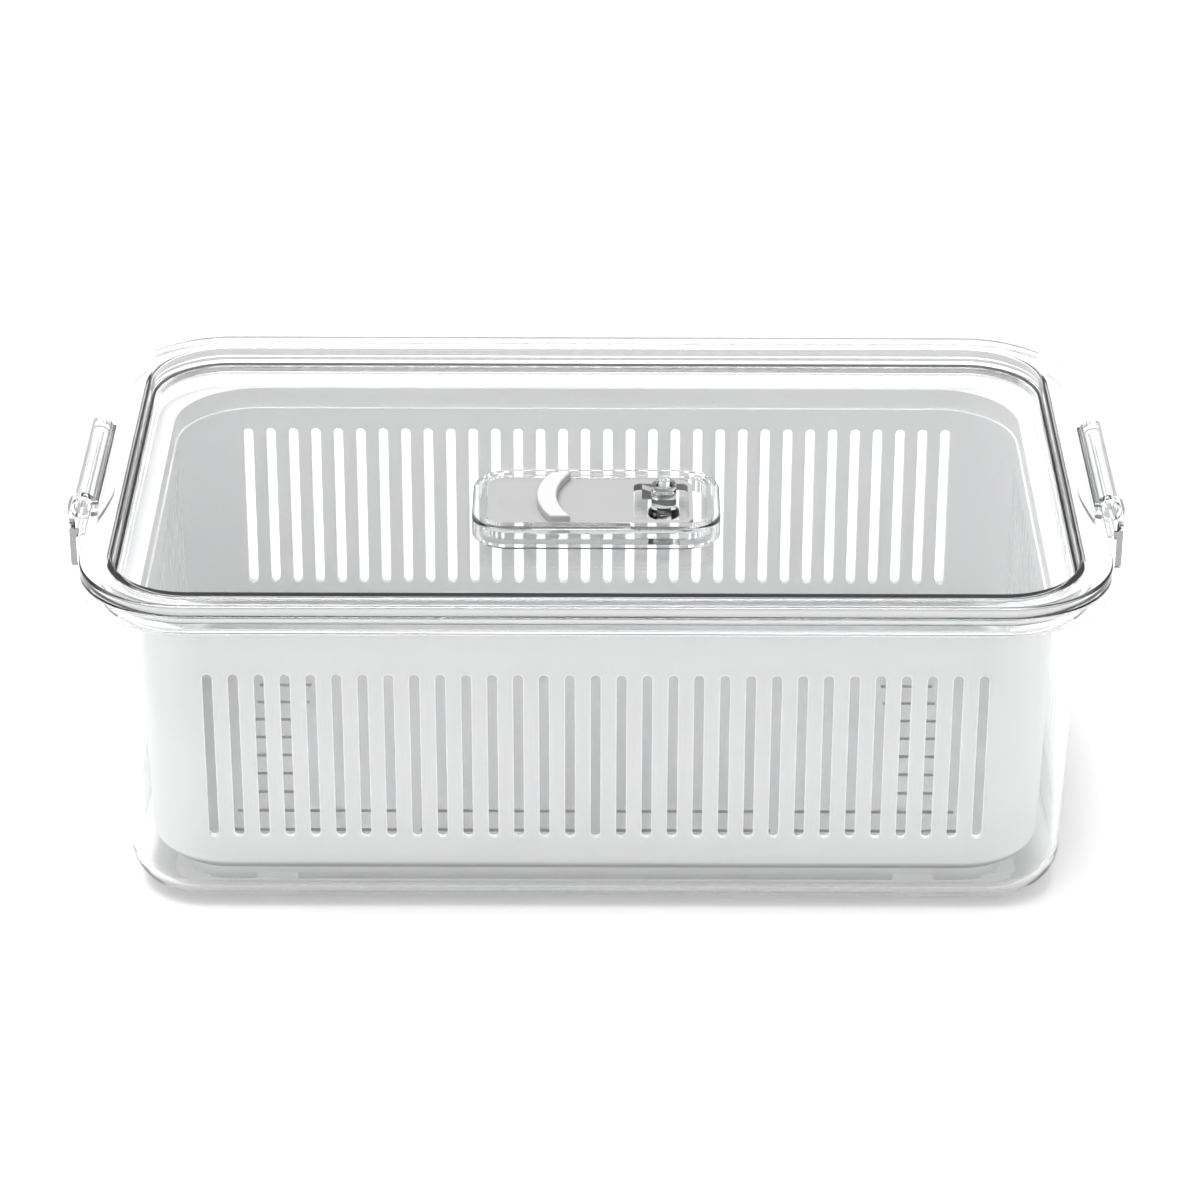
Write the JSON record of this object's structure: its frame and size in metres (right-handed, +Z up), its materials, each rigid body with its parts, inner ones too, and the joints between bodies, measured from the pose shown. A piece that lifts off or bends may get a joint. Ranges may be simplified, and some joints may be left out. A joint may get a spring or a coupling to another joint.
{
  "type": "airtight container with drain basket",
  "caption": "Clear rectangular fridge container with a slotted drain basket, a sealed lid with end latches and a sliding air vent.",
  "frame": {"origin": "middle of the tub's underside", "axes": "+X along the length towards the right latch, +Y away from the vent side, +Z up"},
  "size_m": [0.304, 0.18, 0.1103],
  "materials": {
    "clear_plastic": "clear polished injection moulding",
    "frosted_plastic": "smooth satin, pale grey",
    "latch_plastic": "clear polished injection moulding",
    "grey_plastic": "fine satin grey",
    "silicone": "soft matt silicone"
  },
  "bodies": {
    "base": {"tub": "clear_plastic"},
    "basket": {"drain_basket": "frosted_plastic"},
    "cover": {"lid": "clear_plastic", "lid_seal": "silicone", "vent_housing": "clear_plastic"},
    "left_clip": {"left_latch": "latch_plastic"},
    "right_clip": {"right_latch": "latch_plastic"},
    "slider": {"vent_slider": "grey_plastic"},
    "valve": {"valve_stem": "latch_plastic", "valve_seal": "silicone"}
  },
  "joints": [
    {"name": "lid_lift", "type": "slide", "parent": "base", "child": "cover", "axis": [0, 0, 1], "range_m": [0, 0.2]},
    {"name": "basket_lift", "type": "slide", "parent": "base", "child": "basket", "axis": [0, 0, 1], "range_m": [0, 0.1]},
    {"name": "left_latch_hinge", "type": "hinge", "parent": "cover", "child": "left_clip", "pos_m": [-0.1476, 0, 0.1022], "axis": [0, 1, 0], "range_deg": [0, 110]},
    {"name": "right_latch_hinge", "type": "hinge", "parent": "cover", "child": "right_clip", "pos_m": [0.1476, 0, 0.1022], "axis": [0, -1, 0], "range_deg": [0, 110]},
    {"name": "vent_slide", "type": "slide", "parent": "cover", "child": "slider", "axis": [1, 0, 0], "range_m": [0, 0.0036]},
    {"name": "valve_lift", "type": "slide", "parent": "cover", "child": "valve", "axis": [0, 0, 1], "range_m": [0, 0.00126]}
  ],
  "couplings": [
    {"joint": "valve_lift", "follows": "vent_slide", "ratio": 0.35},
    {"joint": "basket_lift", "follows": "lid_lift", "ratio": 0.5}
  ]
}
